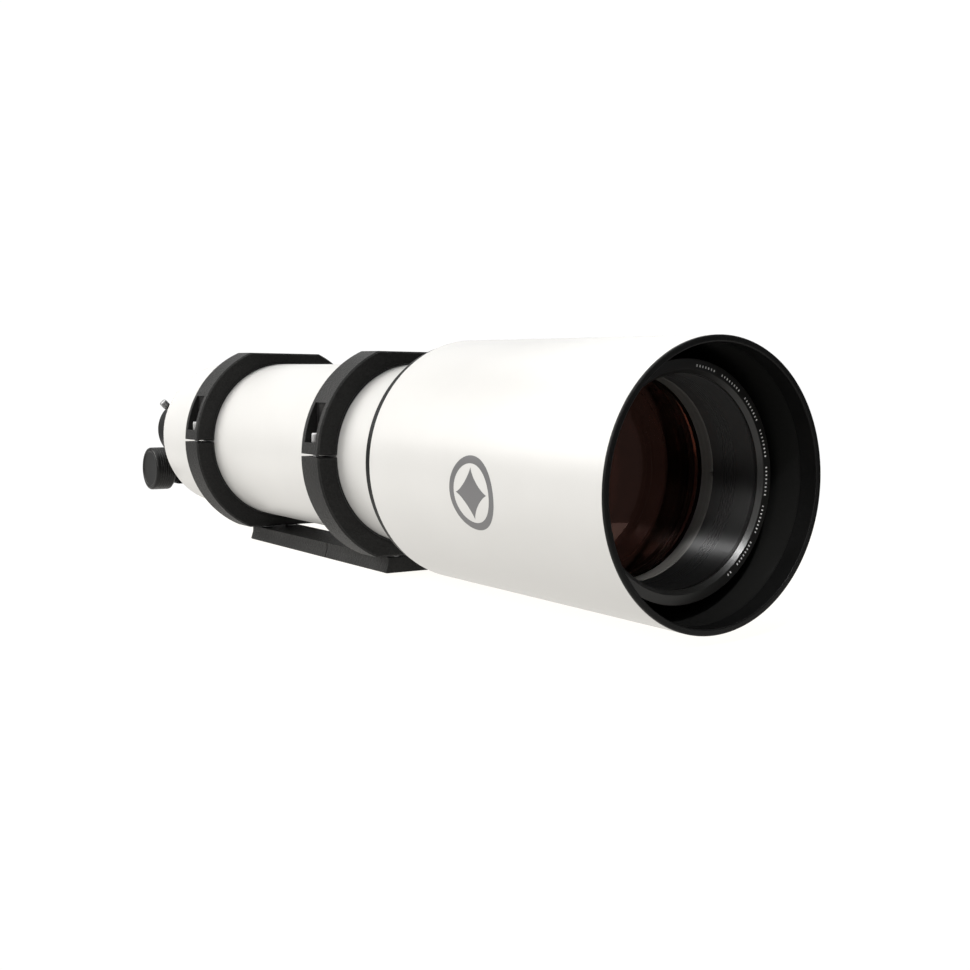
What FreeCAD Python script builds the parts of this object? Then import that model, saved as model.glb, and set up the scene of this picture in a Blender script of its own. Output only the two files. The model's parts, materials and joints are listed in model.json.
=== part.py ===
import FreeCAD, Part
import math
import os
import re
import Sketcher

# A refractor telescope with its tube rings and dovetail plate.
# +X points to the sky, +Z is up, and the origin is the middle of the plate's underside.
# Lengths are millimetres; turned pieces are drawn as (station along X, radius) outlines.

DIMENSIONS = {
    # optical axis and the stations along it
    "axis_height": 94.1,
    "rim_front": 461.0,
    "shield_rear": 198.9,
    "cell_front": 431.8,
    "tube_front": 321.0,
    "tube_rear": -222.4,
    # main tube
    "tube_radius": 70.0,
    "tube_wall": 2.0,
    "baffle_thickness": 1.5,
    "neck_bore": 40.0,
    # dew shield
    "shield_radius": 87.6,
    "shield_wall": 2.6,
    "rim_length": 2.0,
    "rim_lip_radius": 83.6,
    "shield_ring_length": 9.8,
    "shield_ring_radius": 85.9,
    "spigot_length": 12.0,
    "slide_gap": 0.3,
    "felt_thickness": 1.6,
    # lens cell and glass
    "cell_radius": 74.2,
    "flange_bore": 66.0,
    "flange_length": 7.0,
    "flange_gap": 2.0,
    "collimation_radius": 1.2,
    "aperture_radius": 65.0,
    "name_ring_radius": 65.3,
    "name_ring_length": 3.8,
    "glass_radius": 67.0,
    "thread_radius": 68.5,
    "retaining_length": 9.8,
    "spanner_slot": 3.0,
    "groove_setback": 20.8,
    "groove_depth": 0.9,
    "groove_pitch": 2.2,
    "groove_count": 5.0,
    "front_glass": 7.0,
    "front_air_gap": 1.0,
    "middle_glass": 12.0,
    "rear_air_gap": 1.5,
    "rear_glass": 8.0,
    "outer_curve": 560.0,
    "inner_curve": 700.0,
    "rear_curve": 1200.0,
    # tube rings
    "ring_radius": 87.1,
    "ring_bore": 71.5,
    "ring_width": 28.0,
    "ring_flat": 79.8,
    "ring_gap": 2.0,
    "ring_chamfer": 1.2,
    "front_ring_station": 117.0,
    "rear_ring_station": -112.5,
    "hinge_offset": 94.0,
    "knuckle_radius": 6.0,
    "hinge_pin_radius": 2.5,
    "knuckle_length": 9.4,
    "clamp_offset": 81.3,
    "clamp_floor": 9.5,
    "pocket_top": 40.0,
    "pocket_width": 17.0,
    "pocket_face": 75.5,
    "screw_radius": 3.0,
    "screw_head_radius": 5.0,
    "clamp_screw_radius": 2.0,
    "clamp_head_radius": 3.4,
    "clamp_head_height": 7.5,
    "mount_hole_spacing": 24.0,
    "mount_hole_depth": 7.0,
    "lug_root": 80.0,
    # dovetail plate
    "plate_length": 248.0,
    "plate_thickness": 12.3,
    "plate_half_width": 23.0,
    "plate_flank_height": 7.5,
    "plate_flank_angle": 15.0,
    "seam_station": 22.0,
    "seam_width": 1.2,
    "seam_depth": 1.5,
    "counterbore_depth": 6.6,
    # focuser
    "neck_radius": 46.0,
    "neck_rear": -246.4,
    "collar_radius": 50.0,
    "barrel_radius": 41.0,
    "barrel_rear": -294.0,
    "barrel_bore": 32.0,
    "drawtube_radius": 29.0,
    "drawtube_bore": 26.2,
    "drawtube_front": -176.0,
    "running_gap": 0.05,
    "socket_radius": 25.5,
    "clamp_ring_radius": 32.0,
    "clamp_ring_front": -308.0,
    "clamp_ring_rear": -337.0,
    "thumbscrew_station": -329.0,
    "thumbscrew_shank": 2.0,
    "thumbscrew_head": 4.0,
    "lock_station": -248.55,
    "brass_thickness": 1.2,
    "brass_groove_depth": 1.7,
    "pinion_station": -266.0,
    "pinion_drop": 36.0,
    "gear_module": 0.8,
    "pinion_teeth": 13.0,
    "rack_teeth": 39.0,
    "gear_width": 8.0,
    "gear_hollow": 7.4,
    "shaft_radius": 3.0,
    "shaft_clearance": 0.6,
    "bush_radius": 6.5,
    "bush_length": 6.0,
    "liner_length": 12.0,
    "housing_half_width": 42.0,
    "housing_half_length": 11.5,
    "housing_bottom": 51.4,
    "housing_height": 35.4,
    "housing_screw_radius": 1.45,
    "housing_screw_head": 2.6,
    "knob_radius": 21.2,
    "knob_face": 68.0,
    "knob_inner_end": 44.5,
    "fine_knob_radius": 13.0,
    "fine_knob_face": 78.0,
    "fine_shaft_radius": 2.15,
    "fine_shaft_depth": 11.0,
}

# stations worked out from the driving dimensions
GLASS_FRONT = "cell_front - 51.8"
FIRST_REAR = f"{GLASS_FRONT} - front_glass"
SECOND_FRONT = f"{FIRST_REAR} - front_air_gap"
SECOND_REAR = f"{SECOND_FRONT} - middle_glass"
RETAINING_FRONT = f"{GLASS_FRONT} + retaining_length"
THIRD_FRONT = f"{SECOND_REAR} - rear_air_gap"
GLASS_REAR = f"{THIRD_FRONT} - rear_glass"
CELL_SEAT = f"{GLASS_REAR} - 6"
CELL_REAR = "tube_front + flange_length + flange_gap"
TUBE_BORE = "tube_radius - tube_wall"
SHIELD_BORE = "shield_radius - shield_wall"
BAFFLES = (("front", 250, 58), ("middle", 80, 46), ("rear", -150, 32))
RACK_REAR = "pinion_station - 7.5 * gear_module * pi"
SHAFT_HEIGHT = "axis_height - pinion_drop"
EYEPIECE_SCREW_ANGLES = (45, -75)

ALONG_X = FreeCAD.Rotation(FreeCAD.Vector(1, 1, 1), 120)
ALONG_Y = FreeCAD.Rotation(FreeCAD.Vector(1, 0, 0), -90)
UPRIGHT = FreeCAD.Rotation()
X_TO_LEFT = FreeCAD.Rotation(FreeCAD.Vector(0, 0, 1), 90)
X_TO_RIGHT = FreeCAD.Rotation(FreeCAD.Vector(0, 0, 1), -90)
HALF_TURN = FreeCAD.Rotation(FreeCAD.Vector(1, 0, 0), 180)

doc = FreeCAD.newDocument("refractor_telescope")
sheet = doc.addObject("Spreadsheet::Sheet", "Dim")
nodes = []


def fill_sheet():
    """Write every driving dimension to a cell that carries its name."""
    for row, (alias, size) in enumerate(DIMENSIONS.items(), start=1):
        sheet.set(f"A{row}", alias)
        sheet.set(f"B{row}", str(size))
        sheet.setAlias(f"B{row}", alias)
    doc.recompute()


def bound(size):
    """Turn a number or a formula in dimension names into a sheet expression."""
    return re.sub(r"[a-z_]{3,}", lambda word: cell_name(word.group()), str(size))


def cell_name(word):
    """Point a dimension's name at its cell and leave function names alone."""
    return f"Dim.{word}" if word in DIMENSIONS else word


def number(size):
    """The value of a formula in dimension names."""
    return float(sheet.evalExpression(bound(size)))


def place(item, x=0, y=0, z="axis_height", rotation=UPRIGHT):
    """Put an object at a position worked out from the sheet."""
    item.Placement = FreeCAD.Placement(FreeCAD.Vector(number(x), number(y), number(z)), rotation)
    for axis, size in (("x", x), ("y", y), ("z", z)):
        item.setExpression(f"Placement.Base.{axis}", bound(size))
    return item


def keep(label, item):
    """Register a finished sub-part under the name of its node."""
    item.Label = label
    nodes.append(item)
    return item


# ---------------------------------------------------------------- building blocks

def cylinder(radius, length, x=0, y=0, z="axis_height", rotation=ALONG_X):
    """A round bar that starts at a point and runs along one direction."""
    bar = doc.addObject("Part::Cylinder", "bar")
    bar.setExpression("Radius", bound(radius))
    bar.setExpression("Height", bound(length))
    return place(bar, x, y, z, rotation)


def block(size, corner):
    """A box given by its three sizes and its lowest corner."""
    box = doc.addObject("Part::Box", "block")
    for name, length in zip(("Length", "Width", "Height"), size):
        box.setExpression(name, bound(length))
    return place(box, *corner)


def fuse(*pieces):
    """Join pieces into one solid."""
    joined = doc.addObject("Part::MultiFuse", "joined")
    joined.Shapes = list(pieces)
    joined.Refine = True
    return joined


def cut(base, *tools):
    """Take tools away from a base."""
    trimmed = doc.addObject("Part::Cut", "trimmed")
    trimmed.Base = base
    trimmed.Tool = tools[0] if len(tools) == 1 else fuse(*tools)
    return trimmed


def group(*pieces):
    """Hold identical separate solids in one shape."""
    compound = doc.addObject("Part::Compound", "group")
    compound.Links = list(pieces)
    return compound


def new_sketch(body, name, plane_role):
    """A sketch on one of its own body's origin planes."""
    sketch = body.newObject("Sketcher::SketchObject", name)
    plane = next(item for item in body.Origin.OriginFeatures if item.Role == plane_role)
    sketch.AttachmentSupport = (plane, [""])
    sketch.MapMode = "FlatFace"
    return sketch


def bind(sketch, constraint, size):
    """Add a dimension to a sketch and bind it to the sheet."""
    index = sketch.addConstraint(constraint)
    sketch.setExpression(f"Constraints[{index}]", bound(size))


def draw_outline(sketch, corners):
    """A closed outline of straight lines, each corner held by two bound distances."""
    points = [FreeCAD.Vector(number(x), number(y), 0) for x, y in corners]
    count = len(points)
    for index, point in enumerate(points):
        sketch.addGeometry(Part.LineSegment(point, points[(index + 1) % count]))
    for index in range(count):
        sketch.addConstraint(Sketcher.Constraint("Coincident", index, 2, (index + 1) % count, 1))
    for index, (x, y) in enumerate(corners):
        bind(sketch, Sketcher.Constraint("DistanceX", -1, 1, index, 1, points[index].x), x)
        bind(sketch, Sketcher.Constraint("DistanceY", -1, 1, index, 1, points[index].y), y)


def turned(name, corners, x=0, y=0, z="axis_height", rotation=UPRIGHT):
    """A lathe-turned body: an outline of (station, radius) corners turned about its X axis."""
    body = doc.addObject("PartDesign::Body", name)
    sketch = new_sketch(body, f"{name}_profile", "XZ_Plane")
    draw_outline(sketch, corners)
    turn = body.newObject("PartDesign::Revolution", f"{name}_turn")
    turn.Profile = sketch
    turn.ReferenceAxis = (sketch, ["H_Axis"])
    turn.Angle = 360
    return place(body, x, y, z, rotation)


def tube_outline(rear, front, inner, outer):
    """The four corners of a plain tube's wall."""
    return [(rear, inner), (front, inner), (front, outer), (rear, outer)]


# ---------------------------------------------------------------- main tube

def build_tube():
    """The white tube, its knife-edge baffles and the black casting at its rear."""
    keep("main_tube", turned("main_tube", tube_outline("tube_rear", "tube_front", TUBE_BORE, "tube_radius")))
    for place_name, station, opening in BAFFLES:
        label = f"tube_baffle_{place_name}"
        keep(label, turned(label, [
            (station, opening),
            (f"{station} + baffle_thickness / 3", opening),
            (f"{station} + baffle_thickness", f"{opening} + 2"),
            (f"{station} + baffle_thickness", TUBE_BORE),
            (station, TUBE_BORE),
        ]))
    keep("tube_rear_flange", turned("tube_rear_flange", [
        ("neck_rear", "neck_bore"),
        ("tube_rear - 8", "neck_bore"),
        ("tube_rear + 14", f"{TUBE_BORE} - 6"),
        ("tube_rear + 14", TUBE_BORE),
        ("tube_rear", TUBE_BORE),
        ("tube_rear", "tube_radius - 1"),
        ("tube_rear - 4", "tube_radius - 3"),
        ("tube_rear - 14", "neck_radius + 4"),
        ("tube_rear - 14", "neck_radius"),
        ("neck_rear", "neck_radius"),
    ]))


# ---------------------------------------------------------------- lens cell and glass

def build_cell():
    """The flange at the tube's front, the lens cell, its rings and its adjusting screws."""
    keep("cell_flange", cut(
        turned("cell_flange_blank", [
            ("tube_front - spigot_length", "flange_bore"),
            ("tube_front + flange_length", "flange_bore"),
            ("tube_front + flange_length", "cell_radius"),
            ("tube_front", "cell_radius"),
            ("tube_front", TUBE_BORE),
            ("tube_front - spigot_length", TUBE_BORE),
        ]),
        *collimation_bars("collimation_radius + 0.1", "tube_front - 1", 10),
    ))
    keep("lens_cell", cut(
        turned("lens_cell_blank", [
            (CELL_REAR, "aperture_radius + 1"),
            (CELL_SEAT, "aperture_radius + 1"),
            (CELL_SEAT, "aperture_radius"),
            (GLASS_REAR, "aperture_radius"),
            (GLASS_REAR, "glass_radius + 0.3"),
            (GLASS_FRONT, "glass_radius + 0.3"),
            (GLASS_FRONT, "thread_radius"),
            ("cell_front - name_ring_length", "thread_radius"),
            ("cell_front - name_ring_length", "cell_radius"),
            (CELL_REAR, "cell_radius"),
        ]),
        *collimation_bars("collimation_radius + 0.1", f"{CELL_REAR} - 1", 6),
    ))
    keep("cell_front_ring", turned("cell_front_ring", [
        ("cell_front - name_ring_length", "name_ring_radius + 1.2"),
        ("cell_front - 1", "name_ring_radius"),
        ("cell_front - 0.6", "name_ring_radius"),
        ("cell_front", "name_ring_radius + 0.6"),
        ("cell_front", "cell_radius - 0.8"),
        ("cell_front - 0.8", "cell_radius"),
        ("cell_front - name_ring_length", "cell_radius"),
    ]))
    keep("lens_retaining_ring", cut(
        turned("lens_retaining_blank", [
            (GLASS_FRONT, "thread_radius"),
            (GLASS_FRONT, "aperture_radius"),
            (f"{RETAINING_FRONT} - 0.6", "aperture_radius"),
            (RETAINING_FRONT, "aperture_radius + 0.6"),
            (RETAINING_FRONT, "thread_radius"),
        ]),
        block(("spanner_slot", "2 * cell_radius", "spanner_slot"),
              (f"{RETAINING_FRONT} - 2", "-cell_radius", "axis_height - spanner_slot / 2")),
    ))
    keep("cell_baffle_sleeve", turned("cell_baffle_sleeve", baffle_sleeve_outline()))
    screws = []
    rods = collimation_bars("collimation_radius", "tube_front", 13)
    heads = collimation_bars("collimation_radius + 0.8", "tube_front - 2.2", 2.2)
    for rod, head in zip(rods, heads):
        screws.append(fuse(rod, head))
    keep("collimation_screws", group(*screws))


def collimation_bars(radius, station, length):
    """Three push-pull pairs of bars round the cell flange."""
    bars = []
    circle = "cell_radius - 2"
    for pair in range(3):
        for side in (-4, 4):
            angle = 90 + 120 * pair + side
            bars.append(cylinder(radius, length, station, f"({circle}) * cos({angle} deg)",
                                 f"axis_height + ({circle}) * sin({angle} deg)"))
    return bars


def baffle_sleeve_outline():
    """A threaded sleeve in front of the retaining ring, its bore grooved against stray light."""
    rear = f"{RETAINING_FRONT} + slide_gap"
    front = "cell_front - 6.5"
    inner = "aperture_radius + 0.4"
    corners = [(front, "thread_radius"), (front, f"{inner} + 0.5"), (f"{front} - 0.5", inner)]
    for groove in range(int(number("groove_count"))):
        station = f"cell_front - groove_setback - {groove} * groove_pitch"
        corners.append((station, inner))
        corners.append((f"{station} - 0.2", f"{inner} + groove_depth"))
        corners.append((f"{station} - 0.8", f"{inner} + groove_depth"))
        corners.append((f"{station} - 1", inner))
    corners.append((rear, inner))
    corners.append((rear, "thread_radius"))
    return corners


def glass_cap(face, curve, side):
    """A spherical cap of the clear aperture standing on one face; side is +1 towards the sky."""
    centre = f"{face} - ({side}) * sqrt({curve}^2 - aperture_radius^2)"
    ball = doc.addObject("Part::Sphere", "ball")
    ball.setExpression("Radius", bound(curve))
    place(ball, centre)
    start = face if side > 0 else f"{face} - 12"
    cap = doc.addObject("Part::Common", "cap")
    cap.Base = ball
    cap.Tool = cylinder("aperture_radius", 12, start)
    return cap


def build_glass():
    """Three air-spaced elements with flat lands at their edges, and two spacer rings."""
    keep("lens_front_element", fuse(
        cylinder("glass_radius", "front_glass", FIRST_REAR),
        glass_cap(GLASS_FRONT, "outer_curve", 1),
        glass_cap(FIRST_REAR, "outer_curve", -1),
    ))
    keep("lens_middle_element", cut(
        cylinder("glass_radius", "middle_glass", SECOND_REAR),
        glass_cap(SECOND_FRONT, "outer_curve", -1),
        glass_cap(SECOND_REAR, "inner_curve", 1),
    ))
    keep("lens_rear_element", fuse(
        cylinder("glass_radius", "rear_glass", GLASS_REAR),
        glass_cap(THIRD_FRONT, "inner_curve", 1),
        glass_cap(GLASS_REAR, "rear_curve", -1),
    ))
    spacer_bore = "aperture_radius + 0.3"
    for label, rear, front in (("lens_spacer_front", SECOND_FRONT, FIRST_REAR),
                               ("lens_spacer_rear", THIRD_FRONT, SECOND_REAR)):
        keep(label, turned(label, tube_outline(rear, front, spacer_bore, "glass_radius")))


# ---------------------------------------------------------------- dew shield

def build_dew_shield():
    """The sliding white shield with its black rims, and the guide ring that it runs on."""
    ring_front = "shield_rear + shield_ring_length"
    tube_end = "rim_front - rim_length"
    keep("dew_shield_tube", turned(
        "dew_shield_tube", tube_outline(ring_front, tube_end, SHIELD_BORE, "shield_radius")))
    keep("dew_shield_front_rim", turned("dew_shield_front_rim", [
        (f"{tube_end} - spigot_length", "rim_lip_radius + 0.6"),
        ("rim_front - 1", "rim_lip_radius"),
        ("rim_front - 0.5", "rim_lip_radius"),
        ("rim_front", "rim_lip_radius + 0.7"),
        ("rim_front", "shield_radius - 0.9"),
        ("rim_front - 0.3", "shield_radius - 0.3"),
        ("rim_front - 0.9", "shield_radius"),
        (tube_end, "shield_radius"),
        (tube_end, SHIELD_BORE),
        (f"{tube_end} - spigot_length", SHIELD_BORE),
    ]))
    felt_outer = "tube_radius + slide_gap + felt_thickness"
    keep("dew_shield_rear_ring", turned("dew_shield_rear_ring", [
        ("shield_rear", felt_outer),
        (ring_front, felt_outer),
        (ring_front, "shield_radius - 8"),
        (f"{ring_front} + spigot_length", "shield_radius - 5"),
        (f"{ring_front} + spigot_length", SHIELD_BORE),
        (ring_front, SHIELD_BORE),
        (ring_front, "shield_ring_radius"),
        ("shield_rear + 1.5", "shield_ring_radius"),
        ("shield_rear", "shield_ring_radius - 1.5"),
    ]))
    keep("dew_shield_rear_felt", turned("dew_shield_rear_felt", tube_outline(
        "shield_rear + 0.6", f"{ring_front} - 0.6", "tube_radius + slide_gap", felt_outer)))
    guide_outer = f"{SHIELD_BORE} - slide_gap - felt_thickness"
    keep("dew_shield_guide_ring", turned("dew_shield_guide_ring", [
        ("tube_front", "cell_radius"),
        ("tube_front + flange_length", "cell_radius"),
        (CELL_REAR, "cell_radius + 3"),
        (CELL_REAR, guide_outer),
        ("tube_front", guide_outer),
    ]))
    keep("dew_shield_guide_felt", turned("dew_shield_guide_felt", tube_outline(
        "tube_front + 0.5", f"{CELL_REAR} - 0.5", guide_outer, f"{SHIELD_BORE} - slide_gap")))


# ---------------------------------------------------------------- tube rings

def half_ring_body(name):
    """The upper half of a ring: arcs for bore and rim, flats for the top and the split."""
    body = doc.addObject("PartDesign::Body", name)
    sketch = new_sketch(body, f"{name}_profile", "YZ_Plane")
    rim, bore, flat = number("ring_radius"), number("ring_bore"), number("ring_flat")
    split = number("ring_gap / 2")
    split_angle = math.asin(split / rim)
    flat_angle = math.asin(flat / rim)
    bore_angle = math.asin(split / bore)
    centre, normal = FreeCAD.Vector(0, 0, 0), FreeCAD.Vector(0, 0, 1)
    corner = math.sqrt(rim ** 2 - flat ** 2)
    split_outer, split_inner = math.sqrt(rim ** 2 - split ** 2), math.sqrt(bore ** 2 - split ** 2)
    rim_circle, bore_circle = Part.Circle(centre, normal, rim), Part.Circle(centre, normal, bore)
    right_rim = sketch.addGeometry(Part.ArcOfCircle(rim_circle, split_angle, flat_angle))
    top = sketch.addGeometry(Part.LineSegment(
        FreeCAD.Vector(corner, flat, 0), FreeCAD.Vector(-corner, flat, 0)))
    left_rim = sketch.addGeometry(Part.ArcOfCircle(rim_circle, math.pi - flat_angle, math.pi - split_angle))
    left_split = sketch.addGeometry(Part.LineSegment(
        FreeCAD.Vector(-split_outer, split, 0), FreeCAD.Vector(-split_inner, split, 0)))
    inner = sketch.addGeometry(Part.ArcOfCircle(bore_circle, bore_angle, math.pi - bore_angle))
    right_split = sketch.addGeometry(Part.LineSegment(
        FreeCAD.Vector(split_inner, split, 0), FreeCAD.Vector(split_outer, split, 0)))
    joints = ((right_rim, 2, top, 1), (top, 2, left_rim, 1), (left_rim, 2, left_split, 1),
              (left_split, 2, inner, 2), (inner, 1, right_split, 1), (right_split, 2, right_rim, 1))
    for joint in joints:
        sketch.addConstraint(Sketcher.Constraint("Coincident", *joint))
    for arc in (right_rim, left_rim, inner):
        sketch.addConstraint(Sketcher.Constraint("Coincident", arc, 3, -1, 1))
    for line in (top, left_split, right_split):
        sketch.addConstraint(Sketcher.Constraint("Horizontal", line))
    sketch.addConstraint(Sketcher.Constraint("Equal", right_rim, left_rim))
    bind(sketch, Sketcher.Constraint("Radius", right_rim, rim), "ring_radius")
    bind(sketch, Sketcher.Constraint("Radius", inner, bore), "ring_bore")
    bind(sketch, Sketcher.Constraint("DistanceY", -1, 1, top, 1, flat), "ring_flat")
    bind(sketch, Sketcher.Constraint("DistanceY", -1, 1, left_split, 1, split), "ring_gap / 2")
    bind(sketch, Sketcher.Constraint("DistanceY", -1, 1, right_split, 1, split), "ring_gap / 2")
    pad = body.newObject("PartDesign::Pad", f"{name}_pad")
    pad.Profile = sketch
    pad.setExpression("Length", bound("ring_width"))
    pad.Midplane = True
    doc.recompute()
    chamfer = body.newObject("PartDesign::Chamfer", f"{name}_chamfer")
    chamfer.Base = (pad, outline_edges(pad.Shape, number("ring_width / 2")))
    chamfer.setExpression("Size", bound("ring_chamfer"))
    return body


def outline_edges(shape, half_width):
    """Names of the edges that lie in the two side faces."""
    names = []
    for index, edge in enumerate(shape.Edges, start=1):
        stations = {round(abs(vertex.Point.x), 3) for vertex in edge.Vertexes}
        middle = abs(edge.CenterOfMass.x)
        if stations == {round(half_width, 3)} and abs(middle - half_width) < 0.001:
            names.append(f"Edge{index}")
    return names


def knuckle(web_low, x, length):
    """One hinge knuckle with the web that joins it to a ring half."""
    eye = cylinder("knuckle_radius", length, x, "hinge_offset")
    web = block((length, "hinge_offset - lug_root", "knuckle_radius - ring_gap / 2"),
                (x, "lug_root", web_low))
    return eye, web


def ring_holes(station, z):
    """The pair of mounting holes in a ring's flat."""
    depth = "mount_hole_depth + 1"
    return [cylinder("screw_radius", depth, station, f"{side} * mount_hole_spacing / 2", z, UPRIGHT)
            for side in (-1, 1)]


def build_ring(name, station):
    """One hinged tube ring: two halves, felt, hinge pin, clamp screw, bolts and spacers."""
    upper_body = place(half_ring_body(f"{name}_upper_blank"), station)
    lower_body = place(half_ring_body(f"{name}_lower_blank"), station, rotation=HALF_TURN)
    pin_hole = ("hinge_pin_radius + running_gap", "ring_width + 2",
                f"{station} - ring_width / 2 - 1", "hinge_offset")
    middle = knuckle("axis_height + ring_gap / 2", f"{station} - knuckle_length / 2", "knuckle_length")
    screw_x, screw_y = station, "-clamp_offset"
    pocket = block(
        ("pocket_width", 15, "pocket_top - clamp_floor"),
        (f"{station} - pocket_width / 2", "-pocket_face - 15", "axis_height + clamp_floor"))
    keep(f"{name}_upper", cut(
        fuse(upper_body, *middle),
        cylinder(*pin_hole),
        pocket,
        cylinder("clamp_screw_radius + 0.3", "clamp_floor + 2", screw_x, screw_y, "axis_height - 1", UPRIGHT),
        *ring_holes(station, "axis_height + ring_flat - mount_hole_depth"),
    ))
    lugs = []
    outer_length = "(ring_width - knuckle_length) / 2 - slide_gap"
    for x in (f"{station} - ring_width / 2", f"{station} + knuckle_length / 2 + slide_gap"):
        lugs.extend(knuckle("axis_height - knuckle_radius", x, outer_length))
    keep(f"{name}_lower", cut(
        fuse(lower_body, *lugs),
        cylinder(*pin_hole),
        cylinder("clamp_screw_radius + 0.7", 12, screw_x, screw_y,
                 "axis_height - ring_gap / 2 - 12", UPRIGHT),
        *ring_holes(station, "axis_height - ring_flat - 1"),
    ))
    build_ring_felt(name, station)
    keep(f"{name}_hinge_pin", fuse(
        cylinder("hinge_pin_radius", "ring_width", f"{station} - ring_width / 2", "hinge_offset"),
        cylinder("hinge_pin_radius + 1.5", 1.5, f"{station} + ring_width / 2", "hinge_offset"),
    ))
    keep(f"{name}_clamp_screw", cut(
        fuse(
            cylinder("clamp_screw_radius", "clamp_floor + 10", screw_x, screw_y, "axis_height - 10", UPRIGHT),
            cylinder("clamp_head_radius", "clamp_head_height", screw_x, screw_y,
                     "axis_height + clamp_floor", UPRIGHT),
        ),
        hexagon_bar(1.5, 4, screw_x, screw_y, "axis_height + clamp_floor + clamp_head_height - 3.9"),
    ))
    build_ring_bolts(name, station)


def build_ring_felt(name, station):
    """Felt strips that line the two halves of a ring's bore."""
    strip_width = "ring_width - 2"
    start = f"{station} - ({strip_width}) / 2"
    for half, low in (("upper", "axis_height + ring_gap / 2"), ("lower", "axis_height - ring_bore - 1")):
        backing = cylinder("ring_bore", strip_width, start)
        hollow = cylinder("tube_radius + slide_gap", strip_width, start)
        half_space = block((strip_width, "2 * ring_bore + 2", "ring_bore - ring_gap / 2 + 1"),
                           (start, "-ring_bore - 1", low))
        strip = doc.addObject("Part::Common", f"{name}_{half}_strip")
        strip.Base = cut(backing, hollow)
        strip.Tool = half_space
        keep(f"{name}_{half}_felt", strip)


def hexagon_bar(half_width, height, x, y, z):
    """The hexagon socket of a screw head."""
    prism = doc.addObject("Part::Prism", "hexagon")
    prism.Polygon = 6
    prism.Circumradius = half_width / math.cos(math.pi / 6)
    prism.Height = height
    return place(prism, x, y, z)


def build_ring_bolts(name, station):
    """Two cap screws that come up through the plate, and the spacers they pass."""
    bolts, washers = [], []
    for side in (-1, 1):
        y = f"{side} * mount_hole_spacing / 2"
        bolts.append(cut(
            fuse(
                cylinder("screw_radius - running_gap", 14.2, station, y, "counterbore_depth", UPRIGHT),
                cylinder("screw_head_radius", 6, station, y, 0.6, UPRIGHT),
            ),
            hexagon_bar(2.5, 4, station, y, -0.4),
        ))
        washers.append(cut(
            cylinder("screw_head_radius", "axis_height - ring_flat - plate_thickness", station, y,
                     "plate_thickness", UPRIGHT),
            cylinder("screw_radius + 0.1", 4, station, y, "plate_thickness - 1", UPRIGHT),
        ))
    keep(f"{name}_bolts", group(*bolts))
    keep(f"{name}_spacers", group(*washers))


# ---------------------------------------------------------------- dovetail plate

def build_plate():
    """The dovetail plate with slanted flanks, counterbored bolt holes and a side seam."""
    body = doc.addObject("PartDesign::Body", "plate_blank")
    sketch = new_sketch(body, "plate_profile", "YZ_Plane")
    upper = "plate_half_width - plate_flank_height * tan(plate_flank_angle * 1 deg)"
    draw_outline(sketch, [
        ("-plate_half_width + 0.6", 0),
        ("plate_half_width - 0.6", 0),
        ("plate_half_width", 0.6),
        (upper, "plate_flank_height"),
        (upper, "plate_thickness"),
        (f"-({upper})", "plate_thickness"),
        (f"-({upper})", "plate_flank_height"),
        ("-plate_half_width", 0.6),
    ])
    pad = body.newObject("PartDesign::Pad", "plate_pad")
    pad.Profile = sketch
    pad.setExpression("Length", bound("plate_length"))
    pad.Midplane = True
    place(body, 0, 0, 0)
    tools = []
    for station in ("front_ring_station", "rear_ring_station"):
        for side in (-1, 1):
            y = f"{side} * mount_hole_spacing / 2"
            tools.append(cylinder("screw_head_radius + 0.5", "counterbore_depth + 1",
                                  station, y, -1, UPRIGHT))
            tools.append(cylinder("screw_radius + 0.3", "plate_thickness + 2", station, y, -1, UPRIGHT))
    seam_floor = f"{upper} - seam_depth"
    for low in ("-plate_half_width - 1", seam_floor):
        tools.append(block(("seam_width", f"plate_half_width + 1 - ({seam_floor})", "plate_thickness + 2"),
                           ("seam_station", low, -1)))
    keep("dovetail_plate", cut(body, *tools))


# ---------------------------------------------------------------- focuser

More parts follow.
